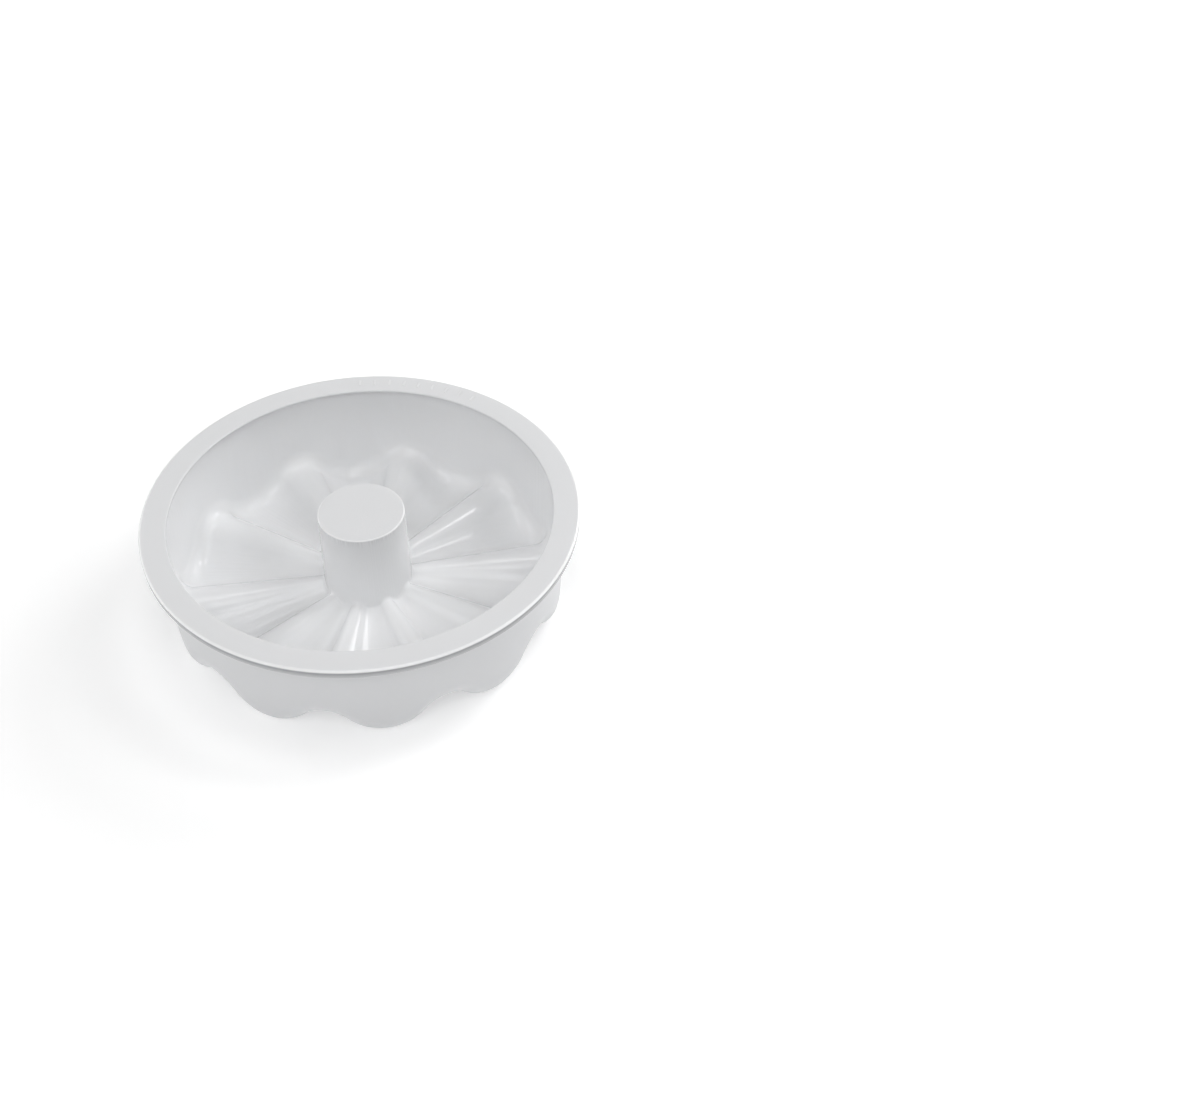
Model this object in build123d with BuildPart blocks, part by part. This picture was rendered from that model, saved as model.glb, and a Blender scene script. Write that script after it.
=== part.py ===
"""Silicone ring cake mould with ten radiating petals and a hollow centre post.

One moulded piece, standing open side up on the crests of its petals.
"""

import os
from math import asin, cos, degrees, radians, tan

from build123d import *

# Driving sizes, in millimetres and degrees.
overall_height = 67.0
wall_thickness = 2.6

mouth_diameter = 220.0
mouth_edge_radius = 0.8
lip_overhang = 3.0
lip_thickness = 1.8
lip_cove_radius = 2.5
lip_edge_radius = 0.4
wall_draft = 2.0

rim_width = 15.5
rim_thickness = 3.4
rim_edge_radius = 1.6
rim_root_radius = 2.0
bead_height = 5.8
bead_width = 4.4
bead_draft = 5.0
bead_edge_radius = 1.5

petal_count = 10
crest_fall = 8.8
valley_start_radius = 0.4
valley_end_radius = 16.0
shoulder_radius = 12.0

post_diameter = 50.0
post_drop = 0.9
post_draft = 0.8
post_edge_radius = 1.0
hollow_edge_radius = 1.2
foot_radius = 4.4

# Sizes that follow from them.
mouth_radius = mouth_diameter / 2
rim_radius = mouth_radius + rim_width
post_top = overall_height - post_drop
wall_slope = tan(radians(wall_draft))
post_slope = tan(radians(post_draft))
wall_radius = mouth_radius + lip_overhang + wall_thickness / cos(radians(wall_draft))
half_petal = 180 / petal_count

# Under each crest the shoulder's rounding touches the ground, and the
# crest falls outwards to meet it. That sets the height of the valleys.
crest_slope = tan(radians(crest_fall))
shoulder_reach = (
    wall_radius
    - (overall_height - shoulder_radius) * wall_slope
    - shoulder_radius / cos(radians(wall_draft))
)
valley_height = (
    shoulder_radius
    + shoulder_reach * crest_slope
    - shoulder_radius / cos(radians(crest_fall))
)

# A petal's section grows in proportion to its distance from the axis, and
# its broad crest arc runs tangent into two tighter valley arcs. These are
# the two arcs' radii together for each millimetre of distance, and the
# angle of the flank.
petal_spread = tan(radians(half_petal))
arc_sum = (petal_spread**2 + crest_slope**2) / (2 * crest_slope)
flank_angle = degrees(asin(petal_spread / arc_sum))

# The forms are lofted from inside the post to outside the wall.
section_start = post_diameter / 4
section_end = rim_radius
cut_margin = 5.0
level_margin = 0.05


def petal_section(distance, valley, inset, top):
    """Draw one petal's section, up to this height, at a distance from the axis."""
    half_width = distance * petal_spread
    crest = distance * arc_sum - valley
    crest_centre = valley_height + crest - distance * crest_slope
    valley_centre = valley_height - valley
    crest_radius = crest - inset
    valley_radius = valley + inset
    with BuildSketch(Plane.YZ.offset(distance)) as section:
        with BuildLine():
            CenterArc((0, crest_centre), crest_radius, -90 - flank_angle, 2 * flank_angle)
            right = CenterArc((half_width, valley_centre), valley_radius, 90, flank_angle)
            left = CenterArc((-half_width, valley_centre), valley_radius, 90 - flank_angle, flank_angle)
            Polyline(right @ 0, (half_width, top), (-half_width, top), left @ 1)
        make_face()
    return section.sketch


def rounded_petal(inset, top):
    """Make one petal of the form between post and wall, with its roundings."""
    wall_side = wall_radius - inset / cos(radians(wall_draft))
    post_side = post_diameter / 2 - (wall_thickness - inset) / cos(radians(post_draft))
    with BuildPart() as petal:
        add(petal_section(section_start, valley_start_radius, inset, top))
        add(petal_section(section_end, valley_end_radius, inset, top))
        loft(ruled=True)
        with BuildSketch(Plane.XZ):
            with BuildLine():
                Polyline(
                    (post_side + (post_top - top) * post_slope, top),
                    (post_side + (post_top + cut_margin) * post_slope, -cut_margin),
                    (wall_side - (overall_height + cut_margin) * wall_slope, -cut_margin),
                    (wall_side + (top - overall_height) * wall_slope, top),
                    close=True,
                )
            make_face()
        revolve(axis=Axis.Z, mode=Mode.INTERSECT)
        for side, radius in ((-1, shoulder_radius), (0, foot_radius)):
            cone = petal.faces().filter_by(GeomType.CONE).sort_by(SortBy.AREA)[side]
            low = cone.edges().filter_by_position(Axis.Z, -cut_margin, valley_height + inset)
            fillet(low, radius - inset)
    return petal.part


def flower_form(inset, top):
    """Make the ring of petals, for the outer form or with an inset for the cavity."""
    petal = rounded_petal(inset, top)
    with BuildPart() as form:
        with PolarLocations(0, petal_count, start_angle=half_petal):
            add(petal)
    return form.part


# Rim: a flat ring with a rounded bead hanging from its outer edge, which
# leans in a little. Inside the wall it goes on as a thinner lip over the cavity.
with BuildPart() as rim:
    with BuildSketch(Plane.XZ) as rim_profile:
        with BuildLine():
            Polyline(
                (mouth_radius, overall_height),
                (rim_radius, overall_height),
                (rim_radius - bead_height * tan(radians(bead_draft)), overall_height - bead_height),
                (rim_radius - bead_width, overall_height - bead_height),
                (rim_radius - bead_width, overall_height - rim_thickness),
                (wall_radius - wall_thickness / 2, overall_height - rim_thickness),
                (wall_radius - wall_thickness / 2, overall_height - lip_thickness),
                (mouth_radius, overall_height - lip_thickness),
                close=True,
            )
        make_face()
        fillet(rim_profile.vertices().group_by(Axis.X)[-1].sort_by(Axis.Y)[-1], rim_edge_radius)
        fillet(rim_profile.vertices().group_by(Axis.Y)[0], bead_edge_radius)
    revolve(axis=Axis.Z)

# The mould is the outer form less the cavity, closed by the top of the post,
# with the rim on it. Its rings of edges are rounded last.
with BuildPart() as mould_body:
    add(flower_form(0, overall_height))
    with BuildSketch(Plane.XY.offset(post_top - wall_thickness)):
        Circle((post_diameter - wall_thickness) / 2)
    extrude(amount=wall_thickness + post_drop)
    add(flower_form(wall_thickness, overall_height + cut_margin), mode=Mode.SUBTRACT)
    with BuildSketch(Plane.XY.offset(post_top)):
        Circle((post_diameter + wall_thickness) / 2)
    extrude(amount=post_drop, mode=Mode.SUBTRACT)
    add(rim.part)
    rings = [
        (overall_height - rim_thickness, 0, rim_root_radius),
        (overall_height - lip_thickness, -1, lip_cove_radius),
        (overall_height - lip_thickness, 0, lip_edge_radius),
        (overall_height, 0, mouth_edge_radius),
        (post_top - wall_thickness, 0, hollow_edge_radius),
        (post_top, -1, post_edge_radius),
    ]
    for height, place, radius in rings:
        circles = mould_body.edges().filter_by(GeomType.CIRCLE)
        level = circles.filter_by_position(Axis.Z, height - level_margin, height + level_margin)
        fillet(level.group_by(SortBy.RADIUS)[place], radius)

mould_body.part.label = "mould_body"
os.makedirs("parts", exist_ok=True)
export_step(mould_body.part, "parts/mould_body.step")
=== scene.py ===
"""Looks for the silicone ring cake mould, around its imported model.

The mould's surface is worked out again from the same sizes as the part's
source, as one fine smooth mesh, so that its gloss runs clean over the petals.
Sizes on the object are in millimetres, and its meshes are made in metres.
"""

import math

import bmesh
import bpy
import numpy as np
from mathutils import Matrix, Vector


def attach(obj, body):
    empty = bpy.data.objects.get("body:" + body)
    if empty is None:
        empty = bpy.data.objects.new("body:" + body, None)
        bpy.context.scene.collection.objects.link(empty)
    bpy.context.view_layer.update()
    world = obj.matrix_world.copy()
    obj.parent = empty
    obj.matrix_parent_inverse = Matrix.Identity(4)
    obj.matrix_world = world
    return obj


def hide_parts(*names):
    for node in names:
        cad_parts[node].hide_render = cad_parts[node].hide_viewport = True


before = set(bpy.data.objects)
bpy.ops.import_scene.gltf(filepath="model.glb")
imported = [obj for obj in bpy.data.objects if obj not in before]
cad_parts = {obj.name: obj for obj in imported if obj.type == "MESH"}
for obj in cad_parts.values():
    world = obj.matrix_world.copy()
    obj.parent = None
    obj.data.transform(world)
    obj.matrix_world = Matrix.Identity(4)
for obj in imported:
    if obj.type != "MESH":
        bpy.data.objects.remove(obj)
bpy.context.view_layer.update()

# Millimetres in a metre.
METRE = 1000

# The sizes of the part's source.
overall_height = 67.0
wall_thickness = 2.6
mouth_radius = 110.0
mouth_edge_radius = 0.8
lip_overhang = 3.0
lip_thickness = 1.8
lip_cove_radius = 2.5
lip_edge_radius = 0.4
wall_draft = math.radians(2.0)
rim_width = 15.5
rim_thickness = 3.4
rim_edge_radius = 1.6
rim_root_radius = 2.0
bead_height = 5.8
bead_width = 4.4
bead_draft = math.radians(5.0)
bead_edge_radius = 1.5
petal_count = 10
crest_slope = math.tan(math.radians(8.8))
valley_start_radius = 0.4
valley_end_radius = 16.0
shoulder_radius = 12.0
post_radius = 25.0
post_drop = 0.9
post_draft = math.radians(0.8)
post_edge_radius = 1.0
hollow_edge_radius = 1.2
foot_radius = 4.4

# The corner between the bead and the rim's underside is softened here.
corner_radius = 0.25

# A row of plain ticks stands a little proud of the rim's face, up to the
# part's full height.
tick_relief = 0.15
tick_sink = 0.3
tick_bevel = 0.12
tick_length = 5.0
tick_width = 1.5
tick_circle = 118.0
tick_count = 9
first_tick = math.radians(50.0)
tick_pitch = math.radians(4.4)

# Sizes that follow from them.
rim_face = overall_height - tick_relief
post_top = overall_height - post_drop
wall_slope = math.tan(wall_draft)
post_slope = math.tan(post_draft)
rim_radius = mouth_radius + rim_width
wall_radius = mouth_radius + lip_overhang + wall_thickness / math.cos(wall_draft)
ring_middle = (post_radius + mouth_radius) / 2
half_petal = math.pi / petal_count
shoulder_reach = (
    wall_radius
    - (overall_height - shoulder_radius) * wall_slope
    - shoulder_radius / math.cos(wall_draft)
)
valley_height = (
    shoulder_radius
    + shoulder_reach * crest_slope
    - shoulder_radius * math.hypot(1, crest_slope)
)
petal_spread = math.tan(half_petal)
arc_sum = (petal_spread**2 + crest_slope**2) / (2 * crest_slope)
section_start = post_radius / 2
section_end = rim_radius

# How finely the mesh is divided: on the two arcs of a petal's section, and
# along the profile outside and inside.
CREST_STEPS = 10
VALLEY_STEPS = 18
OUTER_STEPS = 38
INNER_STEPS = 66

# The two arcs are divided at this distance from the axis. Higher powers
# crowd the rows more towards the steepest part, where the arcs meet.
typical_radius = 80.0
CREST_CROWDING = 1.25
VALLEY_CROWDING = 1.5

# A contour is found along rays from one point in the cavity. Each goes out
# in steps, between these two distances, until it is through the surface, and
# then halves the last step.
ray_height = overall_height * 0.68
FIRST_RAY = math.radians(40)
LAST_RAY = math.radians(-222)
RAYS = 1500
NEAREST = 2
FARTHEST = 95
RAY_STEPS = 240
HALVINGS = 26

# A contour's points are shared out so that this much length counts the same
# as this much turn. Most of that count is evened out over a number of rays.
POINT_SPACING = 3.6
POINT_TURN = math.radians(7.5)
EVENED_RAYS = 31
EVENED_SHARE = 0.75

# The step that a surface's slope is measured over, and the limit, either way,
# to the cosine between two surfaces that meet in a rounding.
SLOPE_STEP = 0.01
COSINE_LIMIT = 0.95

# Colours of the silicone: its own colour inside, a darker copy outside that is painted shade,
# the painted shade under the rim's outer edge, and the painted highlight along rounded edges.
silicone_colour = (0.856, 0.861, 0.872)
shaded_outside_colour = (0.70, 0.706, 0.72)
painted_shade_colour = (0.30, 0.305, 0.32)
painted_highlight_colour = (0.98, 0.983, 0.988)

# How much painted shade the rim's face and the post's top have. Down the bead's
# rounded edge the painted shade rises to all, by this power, and then it fades to the foot.
RIM_SHADE = 0.12
CAP_SHADE = 0.12
SHADE_POWER = 4
FOOT_FADE = 0.45

# Down a rounded edge, in shares of its radius: where the painted highlight is full first,
# where it has stopped, and how far before that the fading starts.
PALE_FROM = 0.12
PALE_END = 0.85
PALE_FADE = 0.3

# Clouds in the silicone: the share of its colour that they leave, and how
# much shinier and duller they make it.
CLOUD_TINT = (0.985, 0.985, 0.98)
SHINIER = 0.02
DULLER = 0.04

# The camera stands where the photograph was taken from, worked out from the
# rims. The lights turn about the mould with it. Places are in metres.
photo_width = 1200
focal_pixels = 1830.5
sensor_width = 36.0
view_turn = math.radians(-10.5)
camera_place = (0.13747, -0.77485, 0.76905)
camera_pitch = 0.7560
camera_aim = 0.0011
spin = Matrix.Rotation(view_turn, 4, "Z")
light_target = Vector((0, 0, 0.03))

# The floor glows weakly out to the first distance, and fully from the second.
floor_size = 24
glow_start = 0.15
glow_end = 1.9
near_glow = 0.26
far_glow = 1.0


def petal_arcs(distance):
    """Radii of a petal's crest and valley at a distance from the axis."""
    share = (distance - section_start) / (section_end - section_start)
    valley = valley_start_radius + share * (valley_end_radius - valley_start_radius)
    return distance * arc_sum - valley, valley


def petal_distance(x, y, z, inset):
    """Distance below the underside of the petals, or of their cavity."""
    crest, valley = petal_arcs(x)
    crest_z = valley_height + crest - x * crest_slope
    valley_z = valley_height - valley
    half_width = x * petal_spread
    side = half_width * (z - crest_z) - (valley_z - crest_z) * np.abs(y)
    on_crest = np.hypot(y, z - crest_z) - (crest - inset)
    on_valley = valley + inset - np.hypot(half_width - np.abs(y), z - valley_z)
    return np.where(side < 0, on_crest, on_valley)


def petal_turns():
    """Angles from a petal's middle to its edge, closest where it is steepest."""
    crest, valley = petal_arcs(typical_radius)
    steepest = math.asin(petal_spread / arc_sum)
    crest_shares = np.linspace(1, 0, CREST_STEPS + 1) ** CREST_CROWDING
    valley_shares = np.linspace(0, 1, VALLEY_STEPS + 1)[1:] ** VALLEY_CROWDING
    crest_bends = steepest * (1 - crest_shares)
    valley_bends = steepest * (1 - valley_shares)
    half_width = typical_radius * petal_spread
    on_crest = (crest - wall_thickness) * np.sin(crest_bends)
    on_valley = half_width - (valley + wall_thickness) * np.sin(valley_bends)
    return np.arctan2(np.concatenate([on_crest, on_valley]), typical_radius)


def side_radii(inset):
    """Radii of the wall, carried up to the rim, and of the post at its top."""
    wall_side = wall_radius - inset / math.cos(wall_draft)
    post_side = post_radius - (wall_thickness - inset) / math.cos(post_draft)
    return wall_side, post_side


def rounded(first, second, normal_dot, radius):
    """Meet two distances in a rounding of this radius."""
    c = np.clip(normal_dot, -COSINE_LIMIT, COSINE_LIMIT)
    u = first + radius
    v = second + radius
    inside = (u - c * v > 0) & (v - c * u > 0)
    span = np.sqrt(np.maximum(u * u + v * v - 2 * u * v * c, 0) / (1 - c * c)) - radius
    return np.where(inside, span, np.maximum(first, second))


def form_distance(r, z, turn, inset):
    """Distance outside the ring of petals, for the outer form or its cavity."""
    x = r * math.cos(turn)
    y = r * math.sin(turn)
    d = petal_distance(x, y, z, inset)
    gx = (petal_distance(x + SLOPE_STEP, y, z, inset) - d) / SLOPE_STEP
    gy = (petal_distance(x, y + SLOPE_STEP, z, inset) - d) / SLOPE_STEP
    gz = (petal_distance(x, y, z + SLOPE_STEP, inset) - d) / SLOPE_STEP
    size = np.sqrt(gx * gx + gy * gy + gz * gz)
    g_out = (gx * math.cos(turn) + gy * math.sin(turn)) / size
    gz = gz / size
    d = d / size
    wall_side, post_side = side_radii(inset)
    wall = (r - wall_side - (z - overall_height) * wall_slope) * math.cos(wall_draft)
    wall_dot = g_out * math.cos(wall_draft) - gz * math.sin(wall_draft)
    post = (post_side + (post_top - z) * post_slope - r) * math.cos(post_draft)
    post_dot = -g_out * math.cos(post_draft) - gz * math.sin(post_draft)
    near_wall = rounded(wall, d, wall_dot, shoulder_radius - inset)
    near_post = rounded(post, d, post_dot, foot_radius - inset)
    return np.where(r > ring_middle, near_wall, near_post)


def traced_contour(turn, inset):
    """Where the rays leave the form, from the wall's side round to the post's."""
    angles = np.linspace(FIRST_RAY, LAST_RAY, RAYS)
    across, up = np.cos(angles), np.sin(angles)

    def is_outside(reach):
        return form_distance(ring_middle + reach * across, ray_height + reach * up, turn, inset) > 0

    reach = np.linspace(NEAREST, FARTHEST, RAY_STEPS)
    first = np.argmax(is_outside(reach[:, None]), axis=0)
    low = reach[np.maximum(first - 1, 0)]
    high = reach[first]
    for _ in range(HALVINGS):
        mid = (low + high) / 2
        outside = is_outside(mid)
        low = np.where(outside, low, mid)
        high = np.where(outside, mid, high)
    mid = (low + high) / 2
    return ring_middle + mid * across, ray_height + mid * up


def spaced_points(r, z, count):
    """This many points along a contour, closer together where it turns."""
    dr, dz = np.diff(r), np.diff(z)
    heading = np.unwrap(np.arctan2(dz, dr))
    bend = np.abs(np.diff(heading, append=heading[-1]))
    weight = np.hypot(dr, dz) / POINT_SPACING + bend / POINT_TURN
    kernel = np.ones(EVENED_RAYS) / EVENED_RAYS
    padded = np.pad(weight, EVENED_RAYS // 2, mode="edge")
    evened = np.convolve(padded, kernel, mode="valid")
    weight = (1 - EVENED_SHARE) * weight + EVENED_SHARE * evened
    along = np.concatenate([[0], np.cumsum(weight)])
    wanted = np.linspace(0, along[-1], count)
    return list(zip(np.interp(wanted, along, r), np.interp(wanted, along, z)))


def form_contour(turn, inset, wall_z, post_z, count):
    """Points (r, z) from the wall at one height, round the form, to the post."""
    r, z = traced_contour(turn, inset)
    keep = z < np.where(r > ring_middle, wall_z, post_z)
    wall_side, post_side = side_radii(inset)
    wall_end = wall_side + (wall_z - overall_height) * wall_slope
    post_end = post_side + (post_top - post_z) * post_slope
    r = np.concatenate([[wall_end], r[keep], [post_end]])
    z = np.concatenate([[wall_z], z[keep], [post_z]])
    return spaced_points(r, z, count)


def arc(centre, radius, start, end, steps):
    """Points of an arc, angles in degrees."""
    a = np.radians(np.linspace(start, end, steps + 1))
    return [(centre[0] + radius * math.cos(t), centre[1] + radius * math.sin(t)) for t in a]


def line(start, end, steps):
    """Points of a straight run, without its two ends."""
    return [
        (start[0] + (end[0] - start[0]) * i / steps, start[1] + (end[1] - start[1]) * i / steps)
        for i in range(1, steps)
    ]


def bead_face(depth):
    """Radius of the bead's leaning outer face at a depth below the rim."""
    return rim_radius - depth * math.tan(bead_draft)


def rim_profile():
    """The rim from the mouth's edge, out and round the bead, to the wall."""
    under = rim_face - rim_thickness
    foot_z = rim_face - bead_height + bead_edge_radius
    inner = rim_radius - bead_width
    wall_top = wall_radius + (under - rim_face) * wall_slope
    lean = math.degrees(bead_draft)
    mouth = (mouth_radius + mouth_edge_radius, rim_face - mouth_edge_radius)
    edge_r = bead_face(rim_edge_radius) - rim_edge_radius / math.cos(bead_draft)
    foot_r = bead_face(rim_face - foot_z) - bead_edge_radius / math.cos(bead_draft)
    corner = (inner - corner_radius, under - corner_radius)
    root = (wall_top + rim_root_radius, under - rim_root_radius)
    outer_foot = arc((foot_r, foot_z), bead_edge_radius, -lean, -90, steps=5)
    points = arc(mouth, mouth_edge_radius, 180, 90, steps=5)
    points += line(points[-1], (edge_r, rim_face), steps=3)
    points += arc((edge_r, rim_face - rim_edge_radius), rim_edge_radius, 90, -lean, steps=8)
    points += line(points[-1], outer_foot[0], steps=2)
    points += outer_foot
    points += arc((inner + bead_edge_radius, foot_z), bead_edge_radius, -90, -180, steps=5)
    points += arc(corner, corner_radius, 0, 90, steps=2)
    points += line(points[-1], (root[0], under), steps=2)
    points += arc(root, rim_root_radius, 90, 180, steps=6)
    return points


def lip_profile():
    """The lip from the cavity's wall, under and up, to the mouth's edge."""
    under = overall_height - lip_thickness
    wall_side = mouth_radius + lip_overhang - lip_thickness * wall_slope
    cove = (wall_side - lip_cove_radius, under - lip_cove_radius)
    edge = (mouth_radius + lip_edge_radius, under + lip_edge_radius)
    points = arc(cove, lip_cove_radius, 0, 90, steps=6)
    points += arc(edge, lip_edge_radius, -90, -180, steps=3)
    points += line(points[-1], (mouth_radius, rim_face - mouth_edge_radius), steps=2)
    return points


def post_profile():
    """The post's top, from its middle out over the edge."""
    edge = (post_radius - post_edge_radius, post_top - post_edge_radius)
    points = line((0, post_top), (edge[0], post_top), steps=6)
    points += arc(edge, post_edge_radius, 90, 0, steps=6)
    return points


def hollow_profile():
    """The hollow's ceiling, from its wall in to its middle."""
    ceiling = post_top - wall_thickness
    side = post_radius - wall_thickness + wall_thickness * post_slope
    edge = (side - hollow_edge_radius, ceiling - hollow_edge_radius)
    points = arc(edge, hollow_edge_radius, 0, 90, steps=4)
    points += line(points[-1], (0, ceiling), steps=5)
    return points


def mould_rows(turns, rim, hollow, post, lip):
    """The mould's closed profile and its azimuth, for each row round the axis."""
    profiles = []
    for turn in turns:
        outer = form_contour(turn, 0.0, rim[-1][1], hollow[0][1], OUTER_STEPS)
        inner = form_contour(turn, wall_thickness, lip[0][1], post[-1][1], INNER_STEPS)
        profiles.append(rim + outer[1:-1] + hollow + post + inner[-2:0:-1] + lip)
    half = len(turns) - 1
    rows = []
    azimuths = []
    for petal in range(petal_count):
        centre = 2 * half_petal * petal - math.pi / 2
        for i in range(-half, half):
            rows.append(profiles[abs(i)])
            azimuths.append(centre + math.copysign(turns[abs(i)], i))
    return np.array(rows) / METRE, np.array(azimuths)


def ring_faces(around, along, outside_end):
    """Quads between the rows, and two fans: to the ceiling's and the top's middle."""
    ceiling = around * along
    top = ceiling + 1
    faces = []
    for i in range(around):
        row = i * along
        following = (i + 1) % around * along
        for k in range(along):
            m = (k + 1) % along
            if k == outside_end - 1:
                faces.append((row + k, ceiling, following + k))
                faces.append((row + m, following + m, top))
            else:
                faces.append((row + k, row + m, following + m, following + k))
    return faces


def clamped(value):
    return min(1.0, max(0.0, value))


def painted_highlight_share(depth):
    """How much painted highlight a rounded edge has, at a depth in shares of its radius."""
    return clamped(depth / PALE_FROM) * clamped((PALE_END - depth) / PALE_FADE)


def mark_tones(mesh):
    """Say at each vertex how much painted shade it has, and how much painted highlight along the edges."""
    painted_shade = mesh.attributes.new("painted_shade", "FLOAT", "POINT")
    edge = mesh.attributes.new("edge", "FLOAT", "POINT")
    band = bead_height - rim_edge_radius - bead_edge_radius
    for vertex, shade_share, highlight_share in zip(mesh.vertices, painted_shade.data, edge.data):
        radius = math.hypot(vertex.co.x, vertex.co.y) * METRE
        depth = rim_face - vertex.co.z * METRE
        # Painted highlights along the rounded edges of the post's top and of the rim's outer edge.
        if radius < post_radius + wall_thickness:
            highlight_share.value = painted_highlight_share((post_top - vertex.co.z * METRE) / post_edge_radius)
        if radius > rim_radius - bead_width / 2:
            highlight_share.value = painted_highlight_share(depth / rim_edge_radius)
            # Painted shade: it rises down the bead's rounded edge and fades towards the foot.
            upper = clamped(depth / rim_edge_radius) ** SHADE_POWER
            lower = clamped((depth - rim_edge_radius) / band)
            shade_share.value = RIM_SHADE + (1 - RIM_SHADE) * upper * (1 - FOOT_FADE * lower)
        # A faint painted shade on the rim's face and on the post's top.
        elif radius > mouth_radius - mouth_edge_radius and depth < rim_thickness:
            shade_share.value = RIM_SHADE
        elif radius < post_radius and depth < wall_thickness:
            shade_share.value = CAP_SHADE


def add_finishes(mesh, along, rim_end, outside_end):
    """Give the mould its finishes: glossy inside, the rim's, and satin outside."""
    mesh.materials.append(silicone("silicone_gloss", silicone_colour, roughness=0.12, streak_depth=0.00008))
    mesh.materials.append(silicone("silicone_rim", silicone_colour, roughness=0.17, streak_depth=0.000004))
    # The outside's darker colour is painted shade.
    mesh.materials.append(silicone("silicone_satin", shaded_outside_colour, roughness=0.38, streak_depth=0.00002))
    for face in mesh.polygons:
        k = face.vertices[0] % along
        if k < rim_end:
            face.material_index = 1
        elif k < outside_end:
            face.material_index = 2


def build_mould():
    """One closed mesh: rows of points around the axis, joined into quads."""
    rim = rim_profile()
    hollow = hollow_profile()
    rows, azimuths = mould_rows(petal_turns(), rim, hollow, post_profile(), lip_profile())
    around, along = rows.shape[:2]
    outside_end = len(rim) + OUTER_STEPS - 2 + len(hollow)
    x = rows[..., 0] * np.cos(azimuths)[:, None]
    y = rows[..., 0] * np.sin(azimuths)[:, None]
    places = np.stack([x, y, rows[..., 1]], -1).reshape(-1, 3)
    verts = [tuple(place) for place in places]
    verts.append((0.0, 0.0, (post_top - wall_thickness) / METRE))
    verts.append((0.0, 0.0, post_top / METRE))
    mesh = bpy.data.meshes.new("mould_silicone")
    mesh.from_pydata(verts, [], ring_faces(around, along, outside_end))
    mesh.validate()
    mesh.shade_smooth()
    mark_tones(mesh)
    add_finishes(mesh, along, len(rim) - 1, outside_end)
    piece = bpy.data.objects.new("mould_silicone", mesh)
    bpy.context.scene.collection.objects.link(piece)
    return piece


def add_tick(shape, azimuth):
    """One bevelled bar along the radius, with its foot inside the rim."""
    out = Vector((math.cos(azimuth), math.sin(azimuth), 0))
    across = Vector((-math.sin(azimuth), math.cos(azimuth), 0))
    rings = []
    for z, inset in ((rim_face - tick_sink, 0), (rim_face, 0), (overall_height, tick_bevel)):
        far = tick_length / 2 - inset
        wide = tick_width / 2 - inset
        ring = []
        for a, b in ((-far, -wide), (far, -wide), (far, wide), (-far, wide)):
            place = out * (tick_circle + a) + across * b + Vector((0, 0, z))
            ring.append(shape.verts.new(place / METRE))
        rings.append(ring)
    shape.faces.new(rings[0][::-1])
    for low, high in zip(rings, rings[1:]):
        for k in range(4):
            m = (k + 1) % 4
            shape.faces.new((low[k], low[m], high[m], high[k]))
    shape.faces.new(rings[-1])


def build_ticks(material):
    """The row of ticks on the rim."""
    shape = bmesh.new()
    for i in range(tick_count):
        add_tick(shape, first_tick + i * tick_pitch)
    mesh = bpy.data.meshes.new("rim_ticks")
    shape.to_mesh(mesh)
    shape.free()
    mesh.materials.append(material)
    piece = bpy.data.objects.new("rim_ticks", mesh)
    bpy.context.scene.collection.objects.link(piece)
    return piece


def new_material(name):
    """A material with its node tree and its shader."""
    material = bpy.data.materials.new(name)
    material.use_nodes = True
    tree = material.node_tree
    return material, tree, tree.nodes["Principled BSDF"]


def attribute(tree, name):
    node = tree.nodes.new("ShaderNodeAttribute")
    node.attribute_name = name
    return node.outputs["Fac"]


def noise(tree, place, scale, detail):
    node = tree.nodes.new("ShaderNodeTexNoise")
    node.inputs["Scale"].default_value = scale
    node.inputs["Detail"].default_value = detail
    tree.links.new(place, node.inputs["Vector"])
    return node.outputs["Fac"]


def vector_math(tree, operation, first):
    node = tree.nodes.new("ShaderNodeVectorMath")
    node.operation = operation
    tree.links.new(first, node.inputs[0])
    return node


def mix_colours(tree, share, second):
    """A mix of the first colour, which is still to be set, and the second."""
    node = tree.nodes.new("ShaderNodeMix")
    node.data_type = "RGBA"
    colours = [socket for socket in node.inputs if socket.type == "RGBA"]
    colours[1].default_value = (*second, 1)
    tree.links.new(share, node.inputs["Factor"])
    return colours[0], node.outputs["Result"]


def bump(tree, height, strength, distance):
    node = tree.nodes.new("ShaderNodeBump")
    node.inputs["Strength"].default_value = strength
    node.inputs["Distance"].default_value = distance
    tree.links.new(height, node.inputs["Height"])
    return node


def streaks(tree, place, across, along_radius):
    """Noise drawn out along the radius, as the tool's polish left it."""
    flat = vector_math(tree, "MULTIPLY", place)
    flat.inputs[1].default_value = (1, 1, 0)
    heading = vector_math(tree, "NORMALIZE", flat.outputs["Vector"])
    spread = vector_math(tree, "SCALE", heading.outputs["Vector"])
    spread.inputs["Scale"].default_value = across
    reach = vector_math(tree, "SCALE", place)
    reach.inputs["Scale"].default_value = along_radius
    both = vector_math(tree, "ADD", spread.outputs["Vector"])
    tree.links.new(reach.outputs["Vector"], both.inputs[1])
    return noise(tree, both.outputs["Vector"], scale=1.0, detail=2.0)


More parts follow.
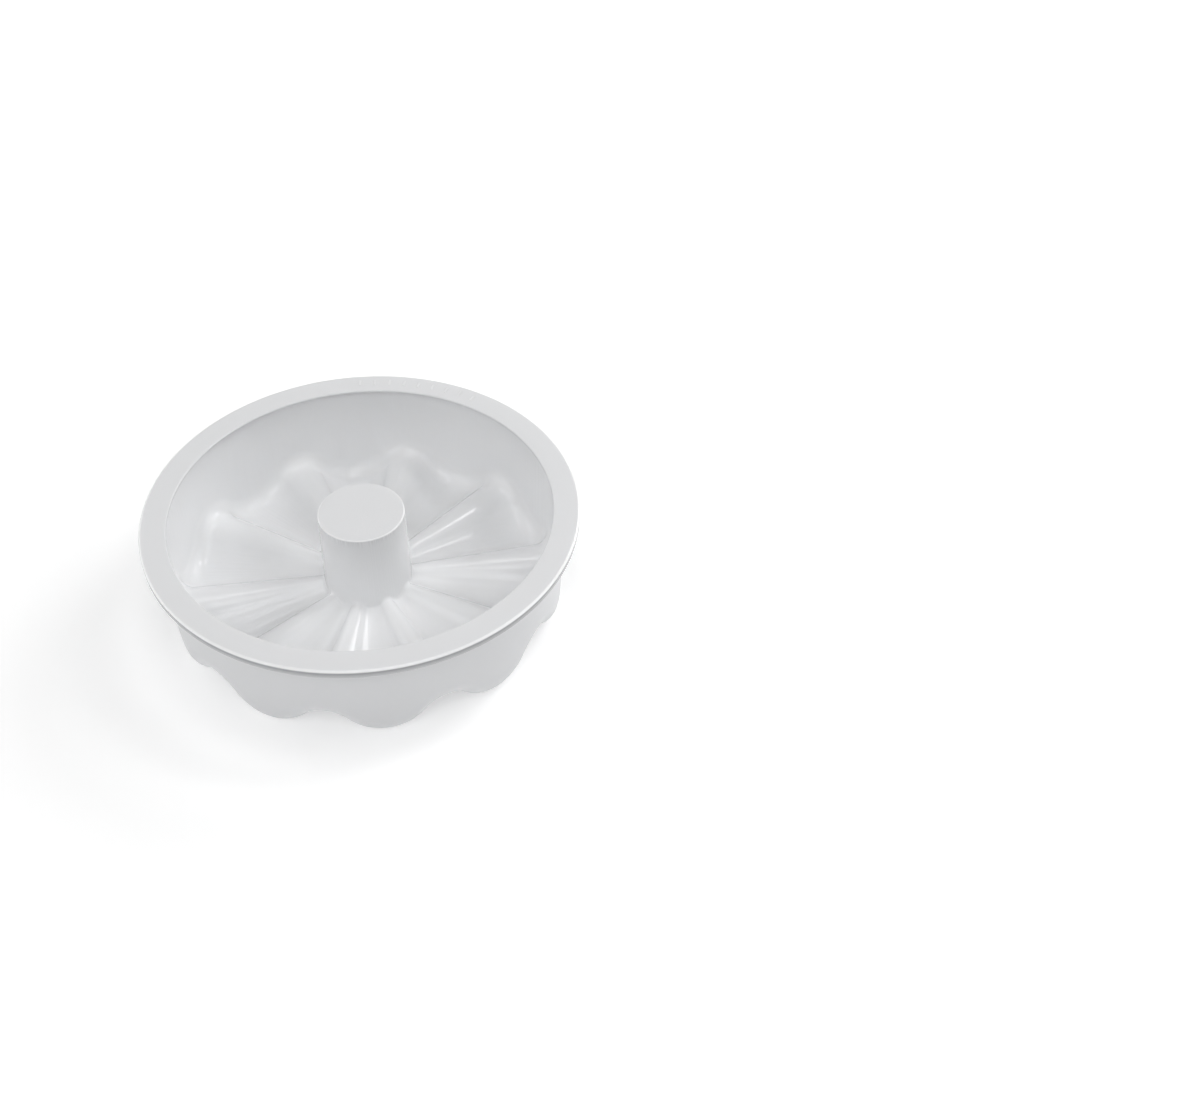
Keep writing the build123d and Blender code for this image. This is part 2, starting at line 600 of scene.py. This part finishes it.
def silicone(name, base, roughness, streak_depth):
    """Pale silicone: a little light goes in, and its gloss is faintly uneven.

    It has painted shade down the bead's outer face and faintly on the rim and the
    post's top, and painted highlights along the rounded edges of the rim and of the post's top.
    """
    material, tree, shader = new_material(name)
    links = tree.links
    place = tree.nodes.new("ShaderNodeTexCoord").outputs["Object"]

    cloud = noise(tree, place, scale=22.0, detail=3.0)
    shade = tree.nodes.new("ShaderNodeMapRange")
    shade.inputs["To Min"].default_value = roughness - SHINIER
    shade.inputs["To Max"].default_value = roughness + DULLER
    links.new(cloud, shade.inputs["Value"])
    links.new(shade.outputs["Result"], shader.inputs["Roughness"])

    clouded = [value * tint for value, tint in zip(base, CLOUD_TINT)]
    clear_colour, tinted = mix_colours(tree, cloud, clouded)
    # The first mix lays painted shade, the second a painted highlight along rounded edges.
    unshaded_colour, shaded = mix_colours(tree, attribute(tree, "painted_shade"), painted_shade_colour)
    unhighlighted_colour, highlighted = mix_colours(tree, attribute(tree, "edge"), painted_highlight_colour)
    clear_colour.default_value = (*base, 1)
    links.new(tinted, unshaded_colour)
    links.new(shaded, unhighlighted_colour)
    links.new(highlighted, shader.inputs["Base Color"])

    grain = noise(tree, place, scale=900.0, detail=2.0)
    polish = streaks(tree, place, across=55.0, along_radius=14.0)
    grain_bump = bump(tree, grain, strength=0.06, distance=0.0002)
    polish_bump = bump(tree, polish, strength=1.0, distance=streak_depth)
    links.new(grain_bump.outputs["Normal"], polish_bump.inputs["Normal"])
    links.new(polish_bump.outputs["Normal"], shader.inputs["Normal"])

    shader.inputs["Subsurface Weight"].default_value = 0.25
    shader.inputs["Subsurface Radius"].default_value = (1.0, 0.97, 0.95)
    shader.inputs["Subsurface Scale"].default_value = 0.002
    shader.inputs["IOR"].default_value = 1.40
    return material


def build_camera():
    """The camera, at the photograph's place and angle of view."""
    camera = bpy.data.cameras.new("camera")
    camera.sensor_width = sensor_width
    camera.lens = focal_pixels / photo_width * sensor_width
    camera.clip_start = 0.05
    eye = bpy.data.objects.new("camera", camera)
    bpy.context.scene.collection.objects.link(eye)
    eye.location = spin @ Vector(camera_place)
    eye.rotation_euler = (math.pi / 2 - camera_pitch, 0, view_turn + camera_aim)
    bpy.context.scene.camera = eye


def build_floor():
    """A plain white floor, which glows more where the panels reach it less."""
    bpy.ops.mesh.primitive_plane_add(size=floor_size, location=(0, 0, 0))
    floor = bpy.context.object
    floor.name = "floor"
    white, tree, shader = new_material("floor_white")
    shader.inputs["Base Color"].default_value = (0.92, 0.92, 0.92, 1)
    shader.inputs["Roughness"].default_value = 0.9
    shader.inputs["Specular IOR Level"].default_value = 0.1
    shader.inputs["Emission Color"].default_value = (1, 1, 1, 1)
    place = tree.nodes.new("ShaderNodeTexCoord").outputs["Object"]
    away = vector_math(tree, "LENGTH", place)
    glow = tree.nodes.new("ShaderNodeMapRange")
    glow.interpolation_type = "SMOOTHSTEP"
    glow.inputs["From Min"].default_value = glow_start
    glow.inputs["From Max"].default_value = glow_end
    glow.inputs["To Min"].default_value = near_glow
    glow.inputs["To Max"].default_value = far_glow
    tree.links.new(away.outputs["Value"], glow.inputs["Value"])
    tree.links.new(glow.outputs["Result"], shader.inputs["Emission Strength"])
    floor.data.materials.append(white)
    return floor


def build_backdrop():
    """A white backdrop, which the camera and the gloss see, but which lights nothing."""
    world = bpy.data.worlds.new("studio")
    bpy.context.scene.world = world
    world.use_nodes = True
    background = world.node_tree.nodes["Background"]
    background.inputs["Color"].default_value = (1, 1, 1, 1)
    background.inputs["Strength"].default_value = 1.0
    world.cycles_visibility.diffuse = False
    world.cycles_visibility.transmission = False
    world.cycles_visibility.scatter = False


def area_light(name, location, size, power):
    """A panel or lamp aimed at the mould. Its place turns with the camera's."""
    light = bpy.data.lights.new(name, "AREA")
    light.shape = "RECTANGLE"
    light.size, light.size_y = size
    light.energy = power
    place = spin @ Vector(location)
    holder = bpy.data.objects.new(name, light)
    holder.location = place
    holder.rotation_euler = (light_target - place).to_track_quat("-Z", "Y").to_euler()
    bpy.context.scene.collection.objects.link(holder)


mould = build_mould()
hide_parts("mould_body")
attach(mould, "root")

ticks = build_ticks(bpy.data.materials["silicone_rim"])
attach(ticks, "root")

build_camera()
build_floor()
build_backdrop()

# Soft studio light: broad panels all round the mould, and two small lamps.
area_light("overhead", (0, 0, 1.6), (0.5, 0.5), 3.6)
area_light("panel_left", (-1.5, 0, 0.9), (1.0, 1.2), 5.0)
area_light("panel_right", (1.5, 0, 0.9), (1.0, 1.2), 5.6)
area_light("panel_front", (0, -1.3, 1.6), (1.4, 1.0), 11.0)
area_light("panel_front_left", (-1.2, -1.1, 0.9), (0.9, 0.9), 4.2)
area_light("panel_front_right", (1.2, -1.1, 0.9), (0.9, 0.9), 2.0)
area_light("panel_back_right", (1.2, 1.1, 0.9), (0.9, 0.9), 11.6)
area_light("panel_back_left", (-1.2, 1.1, 0.9), (0.9, 0.9), 5.2)
area_light("lamp_high", (0.68, 0.36, 1.42), (0.26, 0.26), 1.4)
area_light("lamp_low", (0.88, 0.29, 1.31), (0.26, 0.26), 1.4)
bpy.context.scene.view_settings.view_transform = "Standard"
